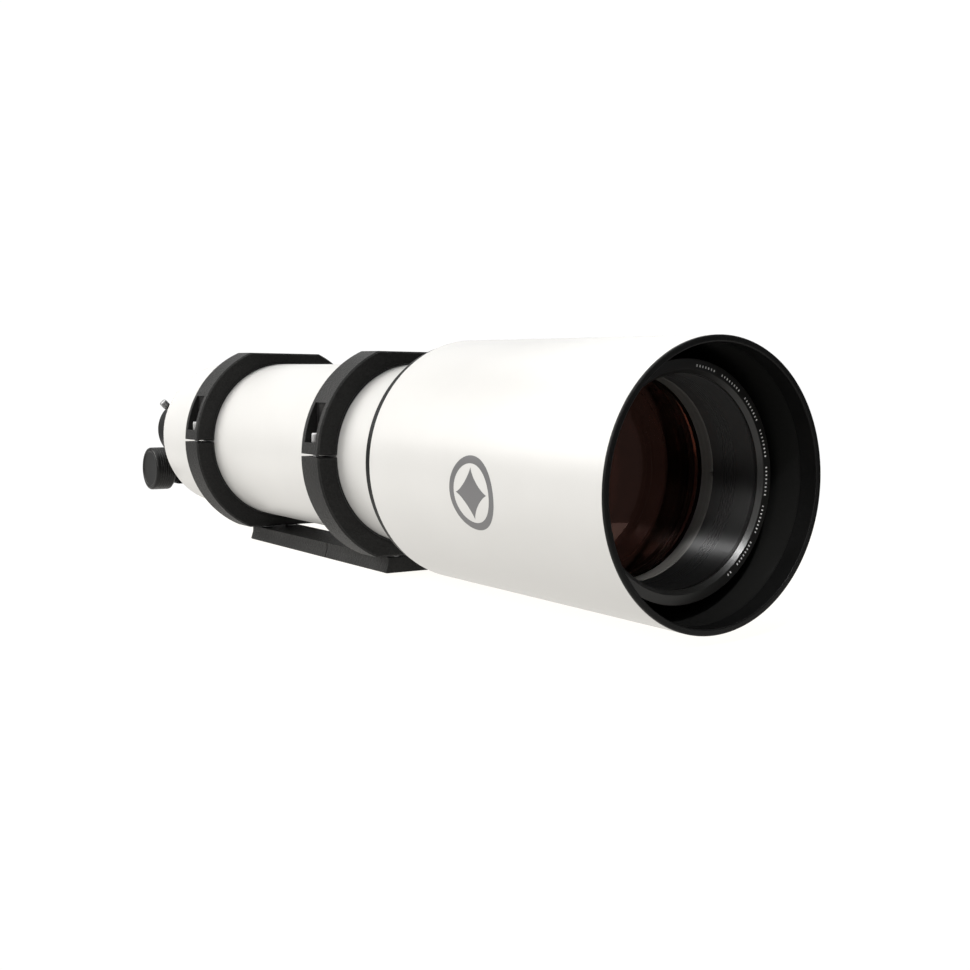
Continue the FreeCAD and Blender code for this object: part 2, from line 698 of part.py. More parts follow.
def build_focuser_body():
    """The collar that lets the focuser turn, its lock screw, the barrel and its liners."""
    lip = "neck_rear - 4.3"
    keep("rotation_collar", cut(
        turned("rotation_collar_blank", [
            (f"{lip} - 2.7", "barrel_radius + 0.4"),
            (lip, "barrel_radius + 0.4"),
            (lip, "neck_radius + running_gap"),
            ("neck_rear + 8.4", "neck_radius + running_gap"),
            ("neck_rear + 8.4", "collar_radius - 1"),
            ("neck_rear + 7.4", "collar_radius"),
            (f"{lip} - 1.7", "collar_radius"),
            (f"{lip} - 2.7", "collar_radius - 1"),
        ]),
        cylinder("thumbscrew_shank + running_gap", 8, "lock_station", 0,
                 "axis_height + neck_radius - 1", UPRIGHT),
    ))
    keep("rotation_lock_screw", cut(
        cylinder("thumbscrew_shank", "collar_radius - neck_radius + 0.8", "lock_station", 0,
                 "axis_height + neck_radius", UPRIGHT),
        hexagon_bar(1.1, 3, "lock_station", 0, "axis_height + collar_radius - 1.4"),
    ))
    barrel = turned("focuser_barrel", [
        ("barrel_rear", "barrel_bore"),
        ("neck_rear - 0.3", "barrel_bore"),
        ("neck_rear - 0.3", "neck_radius - 0.5"),
        ("neck_rear - 4", "neck_radius - 0.5"),
        ("neck_rear - 4", "barrel_radius"),
        ("barrel_rear + 1", "barrel_radius"),
        ("barrel_rear", "barrel_radius - 1"),
    ])
    keep("focuser_body", cut(
        barrel,
        block(("neck_rear - barrel_rear + 2", 10, 20),
              ("barrel_rear - 1", -5, "axis_height - barrel_bore - 4")),
        cylinder("gear_hollow", 10, "pinion_station", -5, SHAFT_HEIGHT, ALONG_Y),
        cylinder("shaft_radius + shaft_clearance", "2 * neck_radius", "pinion_station", "-neck_radius",
                 SHAFT_HEIGHT, ALONG_Y),
        cylinder("thumbscrew_shank + running_gap", 14, "pinion_station - 8", 0,
                 "axis_height + barrel_bore - 3", UPRIGHT),
        *housing_screw_bars("housing_screw_radius + running_gap", "axis_height - barrel_radius - 1", 9.3),
    ))
    liner_bore = "drawtube_radius + running_gap"
    for label, rear in (("guide_liner_front", "neck_rear - 15.6"), ("guide_liner_rear", "barrel_rear")):
        sleeve = turned(f"{label}_blank", tube_outline(
            rear, f"{rear} + liner_length", liner_bore, "barrel_bore"))
        keep(label, cut(sleeve, block(("liner_length + 2", 9.4, 8), (f"{rear} - 1", -4.7,
                                                                     "axis_height - barrel_bore - 2"))))
    keep("drawtube_lock_screw", thumbscrew(
        "drawtube_lock_screw", "pinion_station - 8", "drawtube_radius + slide_gap", 0, 12))


def housing_screw_bars(radius, z, length):
    """Four upright bars at the corners of the pinion housing."""
    return [cylinder(radius, length, f"pinion_station + {x}", y, z, UPRIGHT)
            for x in (-8, 8) for y in (-10, 10)]


def thumbscrew(name, station, tip, angle, reach=6):
    """A knurled thumb screw pointing away from the optical axis; angle is measured from the top."""
    end = reach + 9
    body = turned(name, [
        (0, 0),
        (end, 0),
        (end, "thumbscrew_head - 0.8"),
        (end - 0.8, "thumbscrew_head"),
        (reach + 1.6, "thumbscrew_head"),
        (reach + 1, "thumbscrew_head - 0.6"),
        (reach, "thumbscrew_head - 1.2"),
        (reach, "thumbscrew_shank"),
        (0, "thumbscrew_shank"),
    ])
    turn = FreeCAD.Rotation(FreeCAD.Vector(1, 0, 0), angle).multiply(
        FreeCAD.Rotation(FreeCAD.Vector(0, 1, 0), -90))
    across = f"-({tip}) * sin({angle} deg)"
    return place(body, station, across, f"axis_height + ({tip}) * cos({angle} deg)", turn)


def build_pinion_housing():
    """The block under the barrel that holds the pinion shaft, with its bushes and screws."""
    bush_seat = "housing_half_width - bush_length"
    bottom = "axis_height - housing_bottom"
    shell = block(("2 * housing_half_length", "2 * housing_half_width", "housing_height"),
                  ("pinion_station - housing_half_length", "-housing_half_width", bottom))
    keep("pinion_housing", cut(
        shell,
        cylinder("barrel_radius + running_gap", "4 * housing_half_length",
                 "pinion_station - 2 * housing_half_length"),
        cylinder("gear_hollow", 10, "pinion_station", -5, SHAFT_HEIGHT, ALONG_Y),
        cylinder("shaft_radius + shaft_clearance", "2 * housing_half_width + 2", "pinion_station",
                 "-housing_half_width - 1", SHAFT_HEIGHT, ALONG_Y),
        cylinder("bush_radius", "bush_length + 1", "pinion_station", bush_seat, SHAFT_HEIGHT, ALONG_Y),
        cylinder("bush_radius", "bush_length + 1", "pinion_station", "-housing_half_width - 1",
                 SHAFT_HEIGHT, ALONG_Y),
        *housing_screw_bars("housing_screw_radius + 0.15", f"{bottom} - 1", 14),
        *housing_screw_bars("housing_screw_head + 0.2", f"{bottom} - 1", 4),
    ))
    rods = housing_screw_bars("housing_screw_radius", f"{bottom} + 3", 15)
    heads = housing_screw_bars("housing_screw_head", f"{bottom} + 0.2", 2.8)
    keep("pinion_housing_screws", group(*(fuse(rod, head) for rod, head in zip(rods, heads))))
    bushes = []
    for y in (bush_seat, "-housing_half_width"):
        bushes.append(cut(
            cylinder("bush_radius", "bush_length", "pinion_station", y, SHAFT_HEIGHT, ALONG_Y),
            cylinder("shaft_radius + running_gap", "bush_length + 2", "pinion_station", f"{y} - 1",
                     SHAFT_HEIGHT, ALONG_Y),
        ))
    keep("pinion_bushes", group(*bushes))


def build_drawtube():
    """The drawtube with its rack, the two-inch clamp ring, the brass ring and its screws."""
    keep("drawtube", cut(
        turned("drawtube_blank", tube_outline(
            "clamp_ring_front - 8", "drawtube_front", "drawtube_bore", "drawtube_radius")),
        block(("rack_teeth * gear_module * pi", "gear_width", 2), (
            RACK_REAR, "-gear_width / 2", "axis_height - drawtube_radius - 0.6")),
    ))
    inner = "socket_radius"
    groove_front, groove_rear = "thumbscrew_station + 2", "thumbscrew_station - 2"
    thread_bars = [radial_bar("thumbscrew_shank + running_gap", angle) for angle in EYEPIECE_SCREW_ANGLES]
    keep("eyepiece_clamp_ring", cut(
        turned("eyepiece_clamp_ring_blank", [
            ("clamp_ring_rear", f"{inner} + 1"),
            ("clamp_ring_rear + 1", inner),
            (groove_rear, inner),
            (groove_rear, f"{inner} + brass_groove_depth"),
            (groove_front, f"{inner} + brass_groove_depth"),
            (groove_front, inner),
            ("clamp_ring_front - 8", inner),
            ("clamp_ring_front - 8", "drawtube_radius + running_gap"),
            ("clamp_ring_front", "drawtube_radius + running_gap"),
            ("clamp_ring_front", "clamp_ring_radius - 1"),
            ("clamp_ring_front - 1", "clamp_ring_radius"),
            ("clamp_ring_rear + 1", "clamp_ring_radius"),
            ("clamp_ring_rear", "clamp_ring_radius - 1"),
        ]),
        *thread_bars,
    ))
    brass = turned("compression_ring_blank", tube_outline(
        "thumbscrew_station - 1.9", "thumbscrew_station + 1.9",
        f"{inner} + 0.2", f"{inner} + 0.2 + brass_thickness"))
    keep("compression_ring", cut(
        brass, block((6, 2, 6), ("thumbscrew_station - 3", -1, "axis_height - socket_radius - 4"))))
    for label, angle in zip(("eyepiece_screw_right", "eyepiece_screw_left"), EYEPIECE_SCREW_ANGLES):
        keep(label, thumbscrew(label, "thumbscrew_station", f"{inner} + brass_groove_depth", angle))


def radial_bar(radius, angle):
    """A bar through the clamp ring's wall; angle is measured from the top."""
    direction = FreeCAD.Rotation(FreeCAD.Vector(1, 0, 0), angle)
    start = "socket_radius + 1"
    return cylinder(radius, 8, "thumbscrew_station", f"-({start}) * sin({angle} deg)",
                    f"axis_height + ({start}) * cos({angle} deg)", direction)


def build_knobs():
    """The two coarse knobs on the pinion shaft and the fine knob beyond the left one."""
    length = "knob_face - knob_inner_end"
    grip = [
        (0, 15.5),
        (0.8, 16.3),
        (5, "knob_radius"),
        (f"{length} - 1.6", "knob_radius"),
        (f"{length} - 0.5", "knob_radius - 0.5"),
        (length, "knob_radius - 1.6"),
        (length, "knob_radius - 3.6"),
        (f"{length} - 0.7", "knob_radius - 4.4"),
    ]
    seat = "shaft_radius + running_gap"
    blind_end = [(f"{length} - 0.7", 0), (f"{length} - 5", 0), (f"{length} - 5", seat), (0, seat)]
    keep("coarse_knob_right", turned("coarse_knob_right", grip + blind_end,
                                     "pinion_station", "-knob_inner_end", SHAFT_HEIGHT, X_TO_RIGHT))
    sleeve = "fine_shaft_radius + running_gap"
    through = [(f"{length} - 0.7", sleeve), (f"{length} - 12", sleeve), (f"{length} - 12", seat), (0, seat)]
    keep("coarse_knob_left", turned("coarse_knob_left", grip + through,
                                    "pinion_station", "knob_inner_end", SHAFT_HEIGHT, X_TO_LEFT))
    fine_length = "fine_knob_face - knob_face - 1"
    keep("fine_focus_knob", turned("fine_focus_knob", [
        ("-fine_shaft_depth", 0),
        (fine_length, 0),
        (fine_length, "fine_knob_radius - 1"),
        (f"{fine_length} - 1", "fine_knob_radius"),
        (1, "fine_knob_radius"),
        (0, "fine_knob_radius - 1"),
        (0, "fine_shaft_radius"),
        ("-fine_shaft_depth", "fine_shaft_radius"),
    ], "pinion_station", "knob_face + 1", SHAFT_HEIGHT, X_TO_LEFT))


# ---------------------------------------------------------------- rack and pinion

PRESSURE_ANGLE = math.radians(25)
ADDENDUM = 0.8
DEDENDUM = 1.05
BACKLASH = 0.12


def involute_point(base_radius, radius, half_angle):
    """A point of a tooth's flank at one radius, given the tooth's half angle on the base circle."""
    roll = math.sqrt((radius / base_radius) ** 2 - 1)
    angle = half_angle - (roll - math.atan(roll))
    return FreeCAD.Vector(radius * math.sin(angle), 0, radius * math.cos(angle))


def turned_about_y(point, angle):
    """A point swung about the Y axis."""
    return FreeCAD.Rotation(FreeCAD.Vector(0, 1, 0), math.degrees(angle)).multVec(point)


def mirrored(point):
    """The same point on the tooth's other flank."""
    return FreeCAD.Vector(-point.x, point.y, point.z)


def build_pinion():
    """The pinion cut on its shaft, with a tooth space facing straight up at the rack."""
    module, teeth = number("gear_module"), int(number("pinion_teeth"))
    pitch_radius = module * teeth / 2
    base_radius = pitch_radius * math.cos(PRESSURE_ANGLE)
    tip_radius, root_radius = pitch_radius + ADDENDUM * module, pitch_radius - DEDENDUM * module
    pitch_roll = math.tan(PRESSURE_ANGLE) - PRESSURE_ANGLE
    half_angle = math.pi / (2 * teeth) + pitch_roll - BACKLASH / (2 * pitch_radius)
    low_radius = max(base_radius, root_radius) + 0.01
    flank = [involute_point(base_radius, radius, half_angle)
             for radius in (low_radius, (low_radius + tip_radius) / 2, tip_radius)]
    root = flank[0] * (root_radius / low_radius)
    edges = []
    for tooth in range(teeth):
        angle = 2 * math.pi * (tooth + 0.5) / teeth
        right = [turned_about_y(point, angle) for point in flank]
        left = [turned_about_y(mirrored(point), angle) for point in flank]
        foot_left, foot_right = (turned_about_y(point, angle) for point in (mirrored(root), root))
        next_foot = turned_about_y(mirrored(root), angle + 2 * math.pi / teeth)
        tip = turned_about_y(FreeCAD.Vector(0, 0, tip_radius), angle)
        floor = turned_about_y(FreeCAD.Vector(0, 0, root_radius), angle + math.pi / teeth)
        edges.append(Part.LineSegment(foot_left, left[0]).toShape())
        edges.append(Part.Arc(left[0], left[1], left[2]).toShape())
        edges.append(Part.Arc(left[2], tip, right[2]).toShape())
        edges.append(Part.Arc(right[2], right[1], right[0]).toShape())
        edges.append(Part.LineSegment(right[0], foot_right).toShape())
        edges.append(Part.Arc(foot_right, floor, next_foot).toShape())
    width = number("gear_width")
    gear = Part.Face(Part.Wire(edges)).extrude(FreeCAD.Vector(0, width, 0))
    gear.translate(FreeCAD.Vector(0, -width / 2, 0))
    left_end, right_end = -number("knob_face - 5"), number("knob_face - 12.2")
    shaft = Part.makeCylinder(number("shaft_radius"), right_end - left_end,
                              FreeCAD.Vector(0, left_end, 0), FreeCAD.Vector(0, 1, 0))
    pinion = doc.addObject("Part::Feature", "pinion_shaft")
    pinion.Shape = gear.fuse(shaft).removeSplitter()
    place(pinion, "pinion_station", 0, SHAFT_HEIGHT)
    keep("pinion_shaft", pinion)


def build_rack():
    """The rack let into the drawtube's underside, with a tooth centred over the pinion."""
    module, teeth = number("gear_module"), int(number("rack_teeth"))
    pitch = math.pi * module
    pitch_radius = module * number("pinion_teeth") / 2
    pitch_line = pitch_radius - number("pinion_drop")
    tip_line, root_line = pitch_line - ADDENDUM * module, pitch_line + DEDENDUM * module
    slope = math.tan(PRESSURE_ANGLE)
    half_tip = pitch / 4 - ADDENDUM * module * slope
    half_root = pitch / 4 + DEDENDUM * module * slope
    back = -number("drawtube_radius - 1.4")
    rear = number(RACK_REAR)
    corners = [(rear, back), (rear, root_line)]
    for tooth in range(teeth):
        centre = rear + (tooth + 0.5) * pitch
        corners.append((centre - half_root, root_line))
        corners.append((centre - half_tip, tip_line))
        corners.append((centre + half_tip, tip_line))
        corners.append((centre + half_root, root_line))
    front = rear + teeth * pitch
    corners += [(front, root_line), (front, back), (rear, back)]
    half_width = number("gear_width / 2")
    wire = Part.makePolygon([FreeCAD.Vector(x, -half_width, z) for x, z in corners])
    rack = doc.addObject("Part::Feature", "rack")
    rack.Shape = Part.Face(wire).extrude(FreeCAD.Vector(0, 2 * half_width, 0))
    place(rack)
    keep("rack", rack)


def write_parts():
    """Check every object and sub-part, then write one STEP file a node."""
    doc.recompute()
    for item in doc.Objects:
        if {"Invalid", "Error"} & set(item.State):
            raise RuntimeError(f"{item.Name} ({item.Label}) failed: {item.State}")
    for item in nodes:
        if item.Shape.isNull() or not item.Shape.isValid() or item.Shape.Volume <= 0:
            raise RuntimeError(f"{item.Label} has no valid shape")
    os.makedirs("parts", exist_ok=True)
    for item in nodes:
        item.Shape.exportStep(f"parts/{item.Label}.step")
        print(f"{item.Label}: {len(item.Shape.Solids)} solid(s), {item.Shape.Volume / 1000:.1f} cm3")


fill_sheet()
build_tube()
build_cell()
build_glass()
build_dew_shield()
for ring_name, ring_station in (("front_ring", "front_ring_station"), ("rear_ring", "rear_ring_station")):
    build_ring(ring_name, ring_station)
build_plate()
build_focuser_body()
build_pinion_housing()
build_drawtube()
build_rack()
build_pinion()
build_knobs()
write_parts()
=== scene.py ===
import json
import math

import bmesh
import bpy
from mathutils import Matrix, Vector


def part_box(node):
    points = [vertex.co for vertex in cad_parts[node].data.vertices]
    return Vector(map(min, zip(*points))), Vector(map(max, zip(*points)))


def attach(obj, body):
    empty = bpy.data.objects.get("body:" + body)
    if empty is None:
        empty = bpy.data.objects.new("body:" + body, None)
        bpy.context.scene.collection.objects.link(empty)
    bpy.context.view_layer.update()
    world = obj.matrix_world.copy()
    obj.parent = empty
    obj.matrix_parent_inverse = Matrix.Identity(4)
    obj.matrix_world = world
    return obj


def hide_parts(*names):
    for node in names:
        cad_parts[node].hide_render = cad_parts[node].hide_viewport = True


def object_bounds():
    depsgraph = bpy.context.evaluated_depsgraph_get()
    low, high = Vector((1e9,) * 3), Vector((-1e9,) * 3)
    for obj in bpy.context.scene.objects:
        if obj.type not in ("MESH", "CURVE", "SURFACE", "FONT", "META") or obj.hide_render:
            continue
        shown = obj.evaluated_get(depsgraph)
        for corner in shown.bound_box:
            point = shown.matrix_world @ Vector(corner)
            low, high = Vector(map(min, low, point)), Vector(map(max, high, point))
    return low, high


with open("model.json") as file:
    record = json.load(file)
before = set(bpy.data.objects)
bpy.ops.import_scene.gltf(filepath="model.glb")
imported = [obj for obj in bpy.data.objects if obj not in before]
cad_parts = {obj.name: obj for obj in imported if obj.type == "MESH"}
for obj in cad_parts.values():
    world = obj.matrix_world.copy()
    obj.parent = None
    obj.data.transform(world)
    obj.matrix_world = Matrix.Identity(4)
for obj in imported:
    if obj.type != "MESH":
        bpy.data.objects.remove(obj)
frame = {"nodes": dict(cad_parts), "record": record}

# A refractor telescope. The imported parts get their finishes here, and the turned parts that carry a
# knurl, a socket, grooves, a chamfer or a rounded rim are replaced with finer pieces of the same size.
# Metres, in the row frame: +X along the optical axis to the sky, +Z up, and -Y on the side of the
# clamp screws. Short lengths are written as millimetres times MM.

CAD_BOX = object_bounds()
MM = 0.001

# ---------------------------------------------------------------- places read from the frame
SHIELD_LOW, SHIELD_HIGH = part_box("dew_shield_tube")
TUBE_LOW, TUBE_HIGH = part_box("main_tube")
CELL_LOW, CELL_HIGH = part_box("cell_front_ring")
AXIS_Z = (TUBE_LOW.z + TUBE_HIGH.z) / 2
SHIELD_RADIUS = (SHIELD_HIGH.z - SHIELD_LOW.z) / 2
TUBE_RADIUS = (TUBE_HIGH.z - TUBE_LOW.z) / 2
CELL_RADIUS = (CELL_HIGH.z - CELL_LOW.z) / 2


# ---------------------------------------------------------------- node helpers

def new_material(name):
    """An empty node material, its node tree, its shader and its object coordinates."""
    material = bpy.data.materials.new(name)
    material.use_nodes = True
    tree = material.node_tree
    place = tree.nodes.new("ShaderNodeTexCoord").outputs["Object"]
    return material, tree, tree.nodes["Principled BSDF"], place


def noise(tree, place, scale, detail=4.0, stretch=(1, 1, 1)):
    """A noise pattern in metres, stretched along the axes where wanted."""
    mapping = tree.nodes.new("ShaderNodeMapping")
    mapping.inputs["Scale"].default_value = stretch
    tree.links.new(place, mapping.inputs["Vector"])
    pattern = tree.nodes.new("ShaderNodeTexNoise")
    pattern.inputs["Scale"].default_value = scale
    pattern.inputs["Detail"].default_value = detail
    tree.links.new(mapping.outputs["Vector"], pattern.inputs["Vector"])
    return pattern.outputs["Fac"]


def calculate(tree, operation, *values):
    """One arithmetic step; each value is a number or a socket."""
    step = tree.nodes.new("ShaderNodeMath")
    step.operation = operation
    for socket, value in zip(step.inputs, values):
        if isinstance(value, (int, float)):
            socket.default_value = value
        else:
            tree.links.new(value, socket)
    return step.outputs[0]


def product(tree, *values):
    """Several numbers or sockets multiplied together."""
    total = values[0]
    for value in values[1:]:
        total = calculate(tree, "MULTIPLY", total, value)
    return total


def hypotenuse(tree, first, second):
    """The length of a line from its two square-on parts."""
    squares = calculate(tree, "ADD", product(tree, first, first), product(tree, second, second))
    return calculate(tree, "SQRT", squares)


def between(tree, value, low, high):
    """A mask that is 1 where a value lies between two numbers."""
    above = calculate(tree, "GREATER_THAN", value, low)
    below = calculate(tree, "LESS_THAN", value, high)
    return product(tree, above, below)


def spread(tree, value, low, high, start=0.3, end=0.7):
    """Map a pattern onto a range of values."""
    ramp = tree.nodes.new("ShaderNodeMapRange")
    ramp.inputs["From Min"].default_value = start
    ramp.inputs["From Max"].default_value = end
    ramp.inputs["To Min"].default_value = low
    ramp.inputs["To Max"].default_value = high
    tree.links.new(value, ramp.inputs["Value"])
    return ramp.outputs["Result"]


def scaled(colour, factor):
    """A colour made darker or lighter."""
    return tuple(factor * channel for channel in colour)


def mix_colours(tree, factor, first, second):
    """Blend two colours, either of which may be a socket, by a pattern."""
    mix = tree.nodes.new("ShaderNodeMix")
    mix.data_type = "RGBA"
    tree.links.new(factor, mix.inputs[0])
    for socket, colour in ((mix.inputs[6], first), (mix.inputs[7], second)):
        if isinstance(colour, tuple):
            socket.default_value = (*colour, 1)
        else:
            tree.links.new(colour, socket)
    return mix.outputs[2]


def vary(tree, shader, pattern, dark, light, smooth, rough):
    """Let one pattern vary a surface between two colours and two roughnesses."""
    tree.links.new(mix_colours(tree, pattern, dark, light), shader.inputs["Base Color"])
    tree.links.new(spread(tree, pattern, smooth, rough), shader.inputs["Roughness"])


def bump(tree, shader, height, strength, distance, normal=None):
    """Raise fine relief on a surface."""
    relief = tree.nodes.new("ShaderNodeBump")
    relief.inputs["Strength"].default_value = strength
    relief.inputs["Distance"].default_value = distance
    tree.links.new(height, relief.inputs["Height"])
    if normal:
        tree.links.new(normal, relief.inputs["Normal"])
    tree.links.new(relief.outputs["Normal"], shader.inputs["Normal"])


# The cosine between the rounded and the true normal, where an edge mask is full and where it ends; on black
# metal the mask lightens the edges, partly wear and partly a painted highlight.
EDGE_COSINE = 0.9
FLAT_COSINE = 0.995
EDGE_SAMPLES = 6
FINE_EDGE = 0.3 * MM
WORN_HIGHLIT_EDGE_RADIUS = 0.5 * MM


def soft_edges(tree, radius):
    """The normal rounded over edges, and a mask that is 1 on the edges."""
    bevel = tree.nodes.new("ShaderNodeBevel")
    bevel.samples = EDGE_SAMPLES
    bevel.inputs["Radius"].default_value = radius
    compare = tree.nodes.new("ShaderNodeVectorMath")
    compare.operation = "DOT_PRODUCT"
    tree.links.new(bevel.outputs["Normal"], compare.inputs[0])
    tree.links.new(tree.nodes.new("ShaderNodeNewGeometry").outputs["Normal"], compare.inputs[1])
    mask = spread(tree, compare.outputs["Value"], 1, 0, EDGE_COSINE, FLAT_COSINE)
    return bevel.outputs["Normal"], mask


def axis_distances(tree, place):
    """Station along the optical axis, offset to the side, height over the axis, and radius."""
    split = tree.nodes.new("ShaderNodeSeparateXYZ")
    tree.links.new(place, split.inputs[0])
    across = split.outputs["Y"]
    height = calculate(tree, "SUBTRACT", split.outputs["Z"], AXIS_Z)
    return split.outputs["X"], across, height, hypotenuse(tree, across, height)


# ---------------------------------------------------------------- metal finishes

CLOUD_SHARE = 0.4


def black_metal(name, base, roughness, grain_scale, grain_depth, specular, edge_wear_and_highlight):
    """Black anodised or painted metal: fine grain, uneven satin, edges painted lighter, partly for wear and
    partly as a painted highlight.
    """
    material, tree, shader, place = new_material(name)
    grain = noise(tree, place, grain_scale)
    clouds = noise(tree, place, scale=28, detail=3)
    normal, edges = soft_edges(tree, WORN_HIGHLIT_EDGE_RADIUS)
    shares = (product(tree, clouds, CLOUD_SHARE), product(tree, grain, 1 - CLOUD_SHARE))
    mottle = calculate(tree, "ADD", *shares)
    dark = scaled(base, 0.5)
    light = scaled(base, 1.6)
    body = mix_colours(tree, spread(tree, mottle, low=0, high=1), dark, light)
    # The edges are painted lighter: partly wear, partly a painted highlight standing in for the light that
    # rounded edges catch.
    worn_and_highlit_edges = product(tree, edges, spread(tree, grain, low=0.4, high=1))
    tree.links.new(mix_colours(tree, worn_and_highlit_edges, body, (edge_wear_and_highlight, edge_wear_and_highlight, edge_wear_and_highlight)), shader.inputs["Base Color"])
    tree.links.new(spread(tree, grain, roughness - 0.05, roughness + 0.07), shader.inputs["Roughness"])
    shader.inputs["Specular IOR Level"].default_value = specular
    bump(tree, shader, grain, strength=0.5, distance=grain_depth, normal=normal)
    return material


# The scale on the name ring: its distance in from the rim, then degrees round from the top to +Y.
TICK_NEAR_RIM = 3.2 * MM
TICK_FAR_FROM_RIM = 4.6 * MM
TICKS_START = 5
TICKS_END = 148
TICK_PITCH = 2.0
TICK_WIDTH = 0.62
GROUP_PITCH = 20.0
GROUP_GAP = 3.4
TICK_COLOUR = (0.75, 0.75, 0.75)


def name_ring_finish():
    """The cell's front ring: satin black with a plain scale of fine white ticks on one side."""
    material, tree, shader, place = new_material("name_ring")
    grain = noise(tree, place, scale=1300)
    _, across, height, radius = axis_distances(tree, place)
    angle = product(tree, calculate(tree, "ARCTAN2", across, height), 180 / math.pi)
    track = between(tree, radius, CELL_RADIUS - TICK_FAR_FROM_RIM, CELL_RADIUS - TICK_NEAR_RIM)
    arc = between(tree, angle, TICKS_START, TICKS_END)
    past_tick = calculate(tree, "FLOORED_MODULO", angle, TICK_PITCH)
    past_group = calculate(tree, "FLOORED_MODULO", angle, GROUP_PITCH)
    ticks = calculate(tree, "LESS_THAN", past_tick, TICK_WIDTH)
    groups = calculate(tree, "GREATER_THAN", past_group, GROUP_GAP)
    paint = product(tree, track, arc, ticks, groups)
    body = mix_colours(tree, grain, (0.006, 0.006, 0.0055), (0.010, 0.010, 0.0095))
    tree.links.new(mix_colours(tree, paint, body, TICK_COLOUR), shader.inputs["Base Color"])
    tree.links.new(spread(tree, grain, low=0.28, high=0.34), shader.inputs["Roughness"])
    shader.inputs["Specular IOR Level"].default_value = 0.4
    normal, _ = soft_edges(tree, FINE_EDGE)
    bump(tree, shader, grain, strength=0.3, distance=0.03 * MM, normal=normal)
    return material


def turned_black(name, base, roughness, specular):
    """Black satin metal with fine circular tool marks round the optical axis."""
    material, tree, shader, place = new_material(name)
    station, across, height, radius = axis_distances(tree, place)

    # The tangent runs round the axis, and a quarter turn stretches the gloss across the tool marks.
    around = tree.nodes.new("ShaderNodeCombineXYZ")
    tree.links.new(product(tree, height, -1), around.inputs["Y"])
    tree.links.new(across, around.inputs["Z"])
    tree.links.new(around.outputs["Vector"], shader.inputs["Tangent"])
    shader.inputs["Anisotropic"].default_value = 1.0
    shader.inputs["Anisotropic Rotation"].default_value = 0.25
    shader.inputs["Specular IOR Level"].default_value = specular

    turned = tree.nodes.new("ShaderNodeCombineXYZ")
    tree.links.new(station, turned.inputs["X"])
    tree.links.new(radius, turned.inputs["Y"])
    marks = noise(tree, turned.outputs["Vector"], scale=900)
    dark = scaled(base, 0.6)
    light = scaled(base, 1.4)
    vary(tree, shader, marks, dark, light, roughness - 0.06, roughness + 0.06)
    normal, _ = soft_edges(tree, FINE_EDGE)
    bump(tree, shader, marks, strength=0.4, distance=0.05 * MM, normal=normal)
    return material


def turned_metal(name, dark, light, roughness):
    """Bright turned metal with fine tool marks."""
    material, tree, shader, place = new_material(name)
    marks = noise(tree, place, scale=900, detail=3, stretch=(1, 1, 0.2))
    vary(tree, shader, marks, dark, light, roughness - 0.08, roughness + 0.08)
    shader.inputs["Metallic"].default_value = 1.0
    normal, _ = soft_edges(tree, FINE_EDGE)
    bump(tree, shader, marks, strength=0.2, distance=0.03 * MM, normal=normal)
    return material


# ---------------------------------------------------------------- paint, glass, felt and plastic

WHITE_DARK = (0.445, 0.442, 0.432)
WHITE_LIGHT = (0.475, 0.472, 0.462)
SOOT_DARK = (0.003, 0.003, 0.0028)
SOOT_LIGHT = (0.006, 0.006, 0.0056)
# The paint stays rougher than 0.28: the denoiser draws contour lines where a roughness crosses 0.27.
PAINT_SMOOTH = 0.285
PAINT_ROUGH = 0.36
INSIDE_ROUGHER = 0.3
EMBLEM_GREY = (0.108, 0.107, 0.110)
EMBLEM_ANGLE = math.radians(-7.3)
EMBLEM_SETBACK = 126 * MM
EMBLEM_RING = 21.5 * MM
EMBLEM_LINE = 5.0 * MM
EMBLEM_STAR = 17.0 * MM
EMBLEM_POINT = 0.75


def white_paint(name, skin_radius, emblem=False):
    """Gloss white paint outside, flat black inside; the dew shield also carries a grey emblem."""
    material, tree, shader, place = new_material(name)
    clouds = noise(tree, place, scale=22, detail=6)
    peel = noise(tree, place, scale=260, detail=2)
    soot = noise(tree, place, scale=500)
    station, across, height, radius = axis_distances(tree, place)
    outside = mix_colours(tree, clouds, WHITE_DARK, WHITE_LIGHT)
    if emblem:
        outside = mix_colours(tree, emblem_mask(tree, station, across, height), outside, EMBLEM_GREY)
    black = mix_colours(tree, soot, SOOT_DARK, SOOT_LIGHT)
    inside = calculate(tree, "LESS_THAN", radius, skin_radius)
    tree.links.new(mix_colours(tree, inside, outside, black), shader.inputs["Base Color"])
    gloss = spread(tree, clouds, PAINT_SMOOTH, PAINT_ROUGH, start=0, end=1)
    matt = product(tree, inside, INSIDE_ROUGHER)
    tree.links.new(calculate(tree, "ADD", gloss, matt), shader.inputs["Roughness"])
    shader.inputs["Specular IOR Level"].default_value = 0.22
    shader.inputs["Coat Weight"].default_value = 0.1
    shader.inputs["Coat Roughness"].default_value = 0.28
    bump(tree, shader, peel, strength=0.06, distance=0.08 * MM)
    return material


def emblem_mask(tree, station, across, height):
    """A plain four-point star in a ring, painted on the side of the shield."""
    along = calculate(tree, "SUBTRACT", station, SHIELD_HIGH.x - EMBLEM_SETBACK)
    angle = calculate(tree, "ARCTAN2", height, product(tree, across, -1))
    up = product(tree, calculate(tree, "SUBTRACT", angle, EMBLEM_ANGLE), SHIELD_RADIUS)
    reach = hypotenuse(tree, along, up)
    from_ring = calculate(tree, "ABSOLUTE", calculate(tree, "SUBTRACT", reach, EMBLEM_RING))
    ring = calculate(tree, "LESS_THAN", from_ring, EMBLEM_LINE / 2)
    arms = [calculate(tree, "POWER", calculate(tree, "ABSOLUTE", side), EMBLEM_POINT)
            for side in (along, up)]
    star = calculate(tree, "LESS_THAN", calculate(tree, "ADD", *arms), EMBLEM_STAR ** EMBLEM_POINT)
    near_side = calculate(tree, "LESS_THAN", across, 0)
    return product(tree, calculate(tree, "MAXIMUM", ring, star), near_side)


